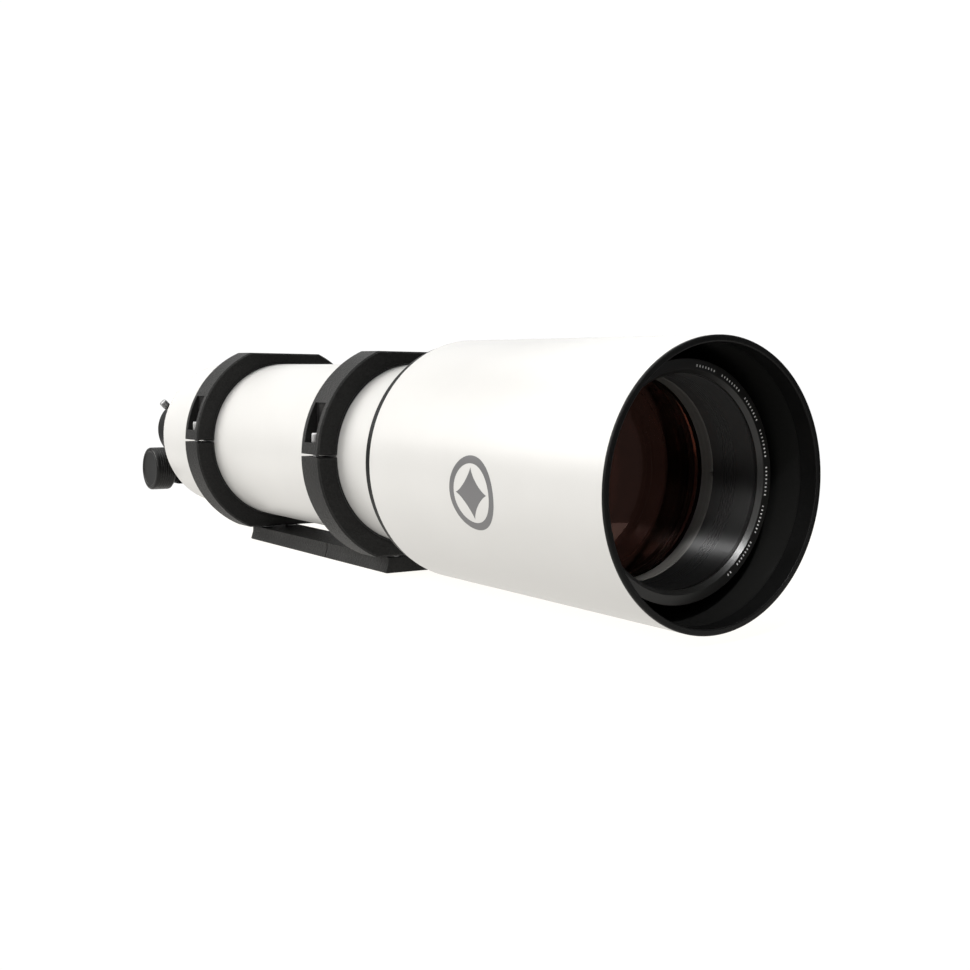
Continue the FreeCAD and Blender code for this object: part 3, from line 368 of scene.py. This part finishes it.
def lens_glass():
    """Coated optical glass with the warm tint of its coatings."""
    material, tree, shader, place = new_material("lens_glass")
    veil = noise(tree, place, scale=14, detail=3)
    vary(tree, shader, veil, (0.80, 0.62, 0.57), (0.86, 0.68, 0.62), smooth=0.003, rough=0.010)
    shader.inputs["Transmission Weight"].default_value = 1.0
    shader.inputs["Specular Tint"].default_value = (1.0, 0.55, 0.45, 1)
    shader.inputs["IOR"].default_value = 1.42
    return material


def felt():
    """Black felt with a fibrous surface."""
    material, tree, shader, place = new_material("felt")
    fibres = noise(tree, place, scale=1400, detail=6)
    vary(tree, shader, fibres, (0.005, 0.005, 0.005), (0.02, 0.02, 0.02), smooth=0.85, rough=1.0)
    shader.inputs["Sheen Weight"].default_value = 0.2
    bump(tree, shader, fibres, strength=0.8, distance=0.3 * MM)
    return material


def polymer():
    """Pale low-friction plastic."""
    material, tree, shader, place = new_material("polymer")
    clouds = noise(tree, place, scale=120, detail=3)
    vary(tree, shader, clouds, (0.70, 0.69, 0.64), (0.78, 0.77, 0.72), smooth=0.35, rough=0.5)
    bump(tree, shader, clouds, strength=0.1, distance=0.1 * MM)
    return material


# The last number of each black metal is the grey of its lighter edges: partly wear, partly a painted
# highlight.
MATERIALS = {
    "white_paint": white_paint("white_paint", TUBE_RADIUS - MM),
    "black_anodised": black_metal(
        "black_anodised", base=(0.005, 0.005, 0.005), roughness=0.34,
        grain_scale=1300, grain_depth=0.03 * MM, specular=0.09, edge_wear_and_highlight=0.03),
    "black_casting": black_metal(
        "black_casting", base=(0.010, 0.010, 0.0097), roughness=0.50,
        grain_scale=600, grain_depth=1.2 * MM, specular=0.14, edge_wear_and_highlight=0.05),
    "inner_black": black_metal(
        "inner_black", base=(0.005, 0.005, 0.0045), roughness=0.5,
        grain_scale=300, grain_depth=0.01 * MM, specular=0.2, edge_wear_and_highlight=0.01),
    "felt": felt(),
    "lens_glass": lens_glass(),
    "screw_steel": turned_metal(
        "screw_steel", dark=(0.34, 0.34, 0.35), light=(0.50, 0.50, 0.50), roughness=0.37),
    "brass_ring": turned_metal(
        "brass_ring", dark=(0.62, 0.42, 0.16), light=(0.75, 0.55, 0.24), roughness=0.32),
    "polymer": polymer(),
    "knob_black": black_metal(
        "knob_black", base=(0.006, 0.006, 0.0057), roughness=0.34,
        grain_scale=1100, grain_depth=0.04 * MM, specular=0.16, edge_wear_and_highlight=0.04),
}
SPECIAL_FINISHES = {
    "dew_shield_tube": white_paint("white_paint_shield", SHIELD_RADIUS - MM, emblem=True),
    "cell_front_ring": name_ring_finish(),
    "lens_retaining_ring": turned_black(
        "satin_ring", base=(0.100, 0.096, 0.089), roughness=0.50, specular=0.4),
    "cell_baffle_sleeve": turned_black(
        "satin_sleeve", base=(0.004, 0.004, 0.004), roughness=0.50, specular=0.60),
}
SLOTS = {part["node"]: part["material_slot"] for part in frame["record"]["subparts"]}


def finish_of(node):
    """A node's own finish, or else the one of its slot."""
    return SPECIAL_FINISHES.get(node, MATERIALS[SLOTS[node]])


def paint_nodes():
    """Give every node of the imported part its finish."""
    for node in SLOTS:
        item = frame["nodes"][node]
        item.data.materials.clear()
        item.data.materials.append(finish_of(node))


# ---------------------------------------------------------------- turned pieces

SEGMENTS = 144
SHARP_ANGLE = math.radians(35)


def round_bar(_):
    """A plain round section, the same at any angle."""
    return 1.0


def ribbed(count, depth):
    """A section with fine straight ribs round it."""
    return lambda angle: 1.0 - depth * (0.5 + 0.5 * math.cos(count * angle))


def hexagon(angle):
    """A hexagonal section; the radius given is to a corner."""
    sector = math.radians(60)
    return math.cos(sector / 2) / math.cos((angle % sector) - sector / 2)


def rings(section, *places):
    """Part of a lathe profile: (station, radius) places that share one section."""
    return [(station, radius, section) for station, radius in places]


def finish_mesh(mesh):
    """Turn every face outward and shade the mesh smooth between its sharp edges."""
    shape = bmesh.new()
    shape.from_mesh(mesh)
    bmesh.ops.recalc_face_normals(shape, faces=shape.faces)
    for face in shape.faces:
        face.smooth = True
    shape.to_mesh(mesh)
    shape.free()
    mesh.set_sharp_from_angle(angle=SHARP_ANGLE)


def lathe_points(profile, base, direction):
    """The points of every ring of a profile, from its base point along a direction."""
    heading = Vector(direction).normalized()
    side = heading.orthogonal().normalized()
    other = heading.cross(side)
    points = []
    for station, radius, section in profile:
        centre = Vector(base) + heading * station
        for step in range(SEGMENTS):
            angle = 2 * math.pi * step / SEGMENTS
            reach = radius * section(angle)
            points.append(centre + side * (reach * math.cos(angle)) + other * (reach * math.sin(angle)))
    return points


def lathe_faces(count, through):
    """Bands between the rings, closed by a disc at each end or by a band down a through bore."""
    faces = []
    for ring in range(count if through else count - 1):
        start = ring * SEGMENTS
        following = (ring + 1) % count * SEGMENTS
        for step in range(SEGMENTS):
            beside = (step + 1) % SEGMENTS
            faces.append((start + step, start + beside, following + beside, following + step))
    if not through:
        last = (count - 1) * SEGMENTS
        faces.append(tuple(reversed(range(SEGMENTS))))
        faces.append(tuple(range(last, last + SEGMENTS)))
    return faces


def turned_piece(node, suffix, profile, base, direction, body, through=False):
    """A lathe piece that replaces a node and rides its body."""
    name = f"{node}_{suffix}"
    mesh = bpy.data.meshes.new(name)
    mesh.from_pydata(lathe_points(profile, base, direction), [], lathe_faces(len(profile), through))
    finish_mesh(mesh)
    mesh.materials.append(finish_of(node))
    item = bpy.data.objects.new(name, mesh)
    bpy.context.scene.collection.objects.link(item)
    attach(item, body)
    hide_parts(node)


# ---------------------------------------------------------------- thumb screws and clamp screws

THUMB_SHANK = 2.0 * MM
THUMB_RADIUS = 4.0 * MM
THUMB_HEAD = 9.0 * MM
THUMB_KNURL = ribbed(count=28, depth=0.09)

# Degrees round from the top towards -Y, the tip's distance from the axis, the length, and the body.
THUMB_SCREWS = {
    "drawtube_lock_screw": (0, 29.3 * MM, 21.0 * MM, "drawtube_lock"),
    "eyepiece_screw_right": (45, 27.2 * MM, 15.0 * MM, "eyepiece_screw_right"),
    "eyepiece_screw_left": (-75, 27.2 * MM, 15.0 * MM, "eyepiece_screw_left"),
}


def knurled_head(start, length, radius):
    """A thumb screw's head: collar, knurl, rounded end, as shares of its length and radius."""
    collar = ((0, 0.70), (0.10, 0.84), (0.17, 0.86))
    knurl = ((0.20, 0.97), (0.24, 1), (0.86, 1), (0.92, 0.96))
    end = ((0.95, 0.86), (0.99, 0.80), (1, 0.74))
    head = []
    for section, shares in ((round_bar, collar), (THUMB_KNURL, knurl), (round_bar, end)):
        head += rings(section, *((start + along * length, out * radius) for along, out in shares))
    return head


def build_thumbscrews():
    """The knurled screws that hold the drawtube and the eyepiece."""
    for node, (turn, tip, length, body) in THUMB_SCREWS.items():
        low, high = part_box(node)
        angle = math.radians(turn)
        direction = Vector((0, -math.sin(angle), math.cos(angle)))
        base = Vector(((low.x + high.x) / 2, 0, AXIS_Z)) + tip * direction
        neck = length - THUMB_HEAD
        shank = rings(round_bar, (0, 0.8 * THUMB_SHANK), (0.5 * MM, THUMB_SHANK), (neck, THUMB_SHANK))
        head = knurled_head(neck, THUMB_HEAD, THUMB_RADIUS)
        turned_piece(node, "knurled", shank + head, base, direction, body)


CLAMP_SHANK = 2.0 * MM
CLAMP_TIP = 1.6 * MM
CLAMP_HEAD = 7.5 * MM
CLAMP_HEAD_LIFT = 0.05 * MM
CLAMP_KNURL = ribbed(count=24, depth=0.09)
SOCKET_MOUTH = 1.9 * MM
SOCKET_CORNER = 1.73 * MM
SOCKET_DEPTH = 3.9 * MM


def build_clamp_screws():
    """The socket cap screws in the rings' pockets; their heads stand just clear of their seats."""
    for ring in ("front", "rear"):
        node = f"{ring}_ring_clamp_screw"
        low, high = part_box(node)
        centre = (low + high) / 2
        radius = (high.x - low.x) / 2
        top = high.z - low.z
        neck = top - CLAMP_HEAD + CLAMP_HEAD_LIFT
        profile = rings(
            round_bar, (0, CLAMP_TIP), (0.4 * MM, CLAMP_SHANK), (neck, CLAMP_SHANK), (neck, 0.92 * radius))
        profile += rings(CLAMP_KNURL, (neck + 0.3 * MM, radius), (top - 1.0 * MM, radius))
        profile += rings(
            round_bar, (top - 0.7 * MM, 0.95 * radius), (top - 0.3 * MM, 0.93 * radius),
            (top, 0.84 * radius))
        profile += rings(
            hexagon, (top, SOCKET_MOUTH), (top - 0.3 * MM, SOCKET_CORNER),
            (top - SOCKET_DEPTH, SOCKET_CORNER))
        turned_piece(node, "cap", profile, (centre.x, centre.y, low.z), (0, 0, 1), f"{ring}_clamp")


# ---------------------------------------------------------------- focus knobs

KNOB_BORE = 3.05 * MM
KNOB_BLIND_BORE_DEPTH = 18.5 * MM
KNOB_HUB = 15.5 * MM
KNOB_FINE_BORE = 2.2 * MM
KNOB_FINE_BORE_LENGTH = 12 * MM
KNOB_DISH = 0.7 * MM
GRIP_GROOVES = 6
GRIP_START = 7.0 * MM
GRIP_PITCH = 2.3 * MM
GRIP_DEPTH = 0.3 * MM


def knob_grip(radius):
    """The knob's back edge and the shallow grooves round its rim."""
    grip = rings(round_bar, (0.8 * MM, 16.3 * MM), (4.6 * MM, radius - 0.3 * MM), (5.6 * MM, radius))
    for groove in range(GRIP_GROOVES):
        start = GRIP_START + groove * GRIP_PITCH
        grip += rings(
            round_bar, (start, radius), (start + 0.25 * MM, radius - GRIP_DEPTH),
            (start + 0.65 * MM, radius - GRIP_DEPTH), (start + 0.9 * MM, radius))
    return grip


def knob_face(length, radius):
    """The knob's rounded rim and the step down into its dished face."""
    return rings(
        round_bar, (length - 2.2 * MM, radius), (length - 1.3 * MM, radius - 0.15 * MM),
        (length - 0.6 * MM, radius - 0.6 * MM), (length - 0.15 * MM, radius - 1.3 * MM),
        (length, radius - 2.0 * MM), (length, radius - 3.4 * MM),
        (length - 0.15 * MM, radius - 3.9 * MM), (length - 0.6 * MM, radius - 4.5 * MM))


def build_knobs():
    """The coarse knobs; the left one's bore goes right through, for the fine knob's shaft."""
    for side, outward in (("right", -1), ("left", 1)):
        node = f"coarse_knob_{side}"
        low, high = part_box(node)
        centre = (low + high) / 2
        radius = (high.x - low.x) / 2
        length = high.y - low.y
        inner_end = high.y if outward < 0 else low.y
        through = side == "left"
        if through:
            bore_depth = length - KNOB_FINE_BORE_LENGTH
            middle = rings(round_bar, (length - KNOB_DISH, KNOB_FINE_BORE), (bore_depth, KNOB_FINE_BORE))
        else:
            bore_depth = KNOB_BLIND_BORE_DEPTH
            middle = rings(round_bar, (length - KNOB_DISH, 0.5 * MM))
        back = rings(round_bar, (bore_depth, KNOB_BORE), (0, KNOB_BORE), (0, KNOB_HUB))
        profile = back + knob_grip(radius) + knob_face(length, radius) + middle
        base = (centre.x, inner_end, centre.z)
        turned_piece(node, "turned", profile, base, (0, outward, 0), "pinion", through)


FINE_SHAFT = 2.15 * MM
FINE_SHAFT_LENGTH = 11.0 * MM
FINE_KNURL = ribbed(count=60, depth=0.035)


def build_fine_knob():
    """The small fine-focus knob with a straight knurl, on its shaft."""
    node = "fine_focus_knob"
    low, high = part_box(node)
    centre = (low + high) / 2
    radius = (high.x - low.x) / 2
    back = FINE_SHAFT_LENGTH
    end = high.y - low.y
    profile = rings(
        round_bar, (0, FINE_SHAFT), (back, FINE_SHAFT), (back, radius - 1.2 * MM),
        (back + 0.7 * MM, radius - 0.2 * MM))
    profile += rings(FINE_KNURL, (back + 1.1 * MM, radius), (end - 1.6 * MM, radius))
    profile += rings(
        round_bar, (end - 1.2 * MM, radius - 0.4 * MM), (end - 0.4 * MM, radius - 0.9 * MM),
        (end, radius - 1.6 * MM), (end, radius - 3.4 * MM), (end - 0.5 * MM, radius - 4.0 * MM))
    turned_piece(node, "knurled", profile, (centre.x, low.y, centre.z), (0, 1, 0), "fine_knob")


# ---------------------------------------------------------------- rings of the lens cell

FRONT_RING_BORE = 65.3 * MM
FRONT_RING_EDGE = 0.3 * MM
CHAMFER_DEPTH = 2.9 * MM
CHAMFER_RISE = 2.5 * MM
SLEEVE_BORE = 65.4 * MM
SLEEVE_GROOVES = 6
SLEEVE_GROOVE_START = 8.8 * MM
SLEEVE_GROOVE_PITCH = 2.1 * MM
SLEEVE_GROOVE_DEPTH = 0.8 * MM


def build_front_ring():
    """The cell's front ring, with the broad inner chamfer that catches the key light."""
    length = CELL_HIGH.x - CELL_LOW.x
    profile = rings(
        round_bar, (0, FRONT_RING_BORE), (length - CHAMFER_DEPTH, FRONT_RING_BORE),
        (length, FRONT_RING_BORE + CHAMFER_RISE), (length, CELL_RADIUS - FRONT_RING_EDGE),
        (length - FRONT_RING_EDGE, CELL_RADIUS), (0, CELL_RADIUS))
    base = (CELL_LOW.x, 0, AXIS_Z)
    turned_piece("cell_front_ring", "turned", profile, base, (1, 0, 0), "tube", through=True)


def build_baffle_sleeve():
    """The sleeve behind the front ring, with grooves round its bore that keep stray light down."""
    node = "cell_baffle_sleeve"
    low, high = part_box(node)
    outer = (high.z - low.z) / 2
    length = high.x - low.x
    groove_floor = SLEEVE_BORE + SLEEVE_GROOVE_DEPTH
    profile = rings(round_bar, (0, outer), (0, SLEEVE_BORE))
    for groove in range(SLEEVE_GROOVES):
        start = SLEEVE_GROOVE_START + groove * SLEEVE_GROOVE_PITCH
        profile += rings(
            round_bar, (start, SLEEVE_BORE), (start + 0.35 * MM, groove_floor),
            (start + 1.05 * MM, groove_floor), (start + 1.40 * MM, SLEEVE_BORE))
    profile += rings(round_bar, (length, SLEEVE_BORE), (length, outer))
    turned_piece(node, "turned", profile, (low.x, 0, AXIS_Z), (1, 0, 0), "tube", through=True)


# ---------------------------------------------------------------- stage, light and camera

CAMERA_PLACE = Vector((0.9946, -0.5418, 0.1569))
CAMERA_HEADING = math.radians(144.86)
CAMERA_PITCH = math.radians(-4.865)
CAMERA_ROLL = math.radians(0.758)
CAMERA_LENS = 48.15
SENSOR = 36
CLIP_START = 10 * MM
FLOOR_RADIUS = 0.62
FLOOR_GAP = 0.2 * MM
FLOOR_GLOW = 0.98

# The world's brightness, and the cosines to the camera's heading between which it rises.
ROOM_LEVEL = 0.16
BACKDROP_LEVEL = 1.03
BACKDROP_START = 0.45
BACKDROP_FULL = 0.82

WARM_WHITE = (1.0, 0.985, 0.96)
LENS_DEPTH = 30 * MM
LENS_PLACE = Vector((CELL_HIGH.x - LENS_DEPTH, 0, AXIS_Z))
KEY_DIRECTION = Vector((0.474, -0.335, 0.814)).normalized()
KEY_DISTANCE = 2.4
KEY_PLACE = LENS_PLACE + KEY_DISTANCE * KEY_DIRECTION
SNOOT_OFFSET = Vector((0, 42 * MM, -40 * MM))
SNOOT_POWER = 360
SNOOT_SIZE = 0.1
SNOOT_BLEND = 0.4
SNOOT_ANGLE = math.radians(3.4)


def build_floor():
    """A round pale table whose glow brings it up to the white of the backdrop."""
    low, high = CAD_BOX
    middle = (low[0] + high[0]) / 2
    corners = []
    for step in range(SEGMENTS):
        turn = 2 * math.pi * step / SEGMENTS
        across = FLOOR_RADIUS * math.sin(turn)
        corners.append((middle + FLOOR_RADIUS * math.cos(turn), across, low[2] - FLOOR_GAP))
    mesh = bpy.data.meshes.new("floor")
    mesh.from_pydata(corners, [], [tuple(range(SEGMENTS))])
    floor = bpy.data.objects.new("floor", mesh)
    bpy.context.scene.collection.objects.link(floor)
    material, tree, shader, place = new_material("pale_table")
    clouds = noise(tree, place, scale=3, detail=2)
    vary(tree, shader, clouds, (0.11, 0.11, 0.11), (0.13, 0.13, 0.13), smooth=0.85, rough=0.95)
    shader.inputs["Specular IOR Level"].default_value = 0.1
    shader.inputs["Emission Color"].default_value = (1.0, 0.975, 0.93, 1)
    shader.inputs["Emission Strength"].default_value = FLOOR_GLOW
    mesh.materials.append(material)


def build_world():
    """A white backdrop behind the telescope that fades to a dim room in front of it."""
    world = bpy.data.worlds.new("studio")
    bpy.context.scene.world = world
    world.use_nodes = True
    tree = world.node_tree
    facing = tree.nodes.new("ShaderNodeVectorMath")
    facing.operation = "DOT_PRODUCT"
    tree.links.new(tree.nodes.new("ShaderNodeTexCoord").outputs["Generated"], facing.inputs[0])
    facing.inputs[1].default_value = (math.cos(CAMERA_HEADING), math.sin(CAMERA_HEADING), 0)
    level = spread(
        tree, facing.outputs["Value"], ROOM_LEVEL, BACKDROP_LEVEL, BACKDROP_START, BACKDROP_FULL)
    tree.links.new(level, tree.nodes["Background"].inputs["Strength"])
    tree.nodes["Background"].inputs["Color"].default_value = (1, 1, 1, 1)


def aim_lamp(lamp, place, heading):
    """Put a lamp in the scene, facing along a heading."""
    item = bpy.data.objects.new(lamp.name, lamp)
    item.location = place
    item.rotation_euler = heading.to_track_quat("-Z", "Y").to_euler()
    bpy.context.scene.collection.objects.link(item)


def soft_light(name, place, aim, size, power, tint=(1, 1, 1)):
    """A square soft box that faces a point."""
    lamp = bpy.data.lights.new(name, "AREA")
    lamp.size = size
    lamp.energy = power
    lamp.color = tint
    aim_lamp(lamp, place, Vector(aim) - Vector(place))


def snoot_light():
    """A narrow spot beside the key box that lights the lower right of the lens cell."""
    lamp = bpy.data.lights.new("lens_snoot", "SPOT")
    lamp.energy = SNOOT_POWER
    lamp.shadow_soft_size = SNOOT_SIZE
    lamp.spot_size = SNOOT_ANGLE
    lamp.spot_blend = SNOOT_BLEND
    aim_lamp(lamp, KEY_PLACE + SNOOT_OFFSET, -KEY_DIRECTION)


def build_lights():
    """A large box overhead, a key box above the lens with a snooted lamp beside it, and two broad fills."""
    soft_light("overhead", place=(-0.3, -0.12, 1.65), aim=(0, 0, AXIS_Z), size=1.6, power=21)
    soft_light("key", place=KEY_PLACE, aim=LENS_PLACE, size=0.35, power=9)
    soft_light("front_fill", place=(1.0, -1.7, 0.9), aim=(0.1, 0, AXIS_Z),
               size=1.2, power=21, tint=WARM_WHITE)
    soft_light("rear_fill", place=(-0.85, -1.3, 1.0), aim=(-0.15, 0, AXIS_Z),
               size=1.3, power=44, tint=WARM_WHITE)
    snoot_light()


def build_camera():
    """The camera in front of the dew shield, on the side of the clamp screws."""
    data = bpy.data.cameras.new("camera")
    data.lens = CAMERA_LENS
    data.sensor_width = SENSOR
    data.clip_start = CLIP_START
    item = bpy.data.objects.new("camera", data)
    level = math.cos(CAMERA_PITCH)
    forward = Vector((
        level * math.cos(CAMERA_HEADING), level * math.sin(CAMERA_HEADING), math.sin(CAMERA_PITCH)))
    level_right = forward.cross(Vector((0, 0, 1))).normalized()
    level_up = level_right.cross(forward)
    right = level_right * math.cos(CAMERA_ROLL) + level_up * math.sin(CAMERA_ROLL)
    up = right.cross(forward)
    facing = Matrix((right, up, -forward)).transposed().to_4x4()
    item.matrix_world = Matrix.Translation(CAMERA_PLACE) @ facing
    bpy.context.scene.collection.objects.link(item)
    bpy.context.scene.camera = item


paint_nodes()
build_thumbscrews()
build_clamp_screws()
build_knobs()
build_fine_knob()
build_front_ring()
build_baffle_sleeve()
build_floor()
build_world()
build_lights()
build_camera()
bpy.context.scene.view_settings.view_transform = "Standard"
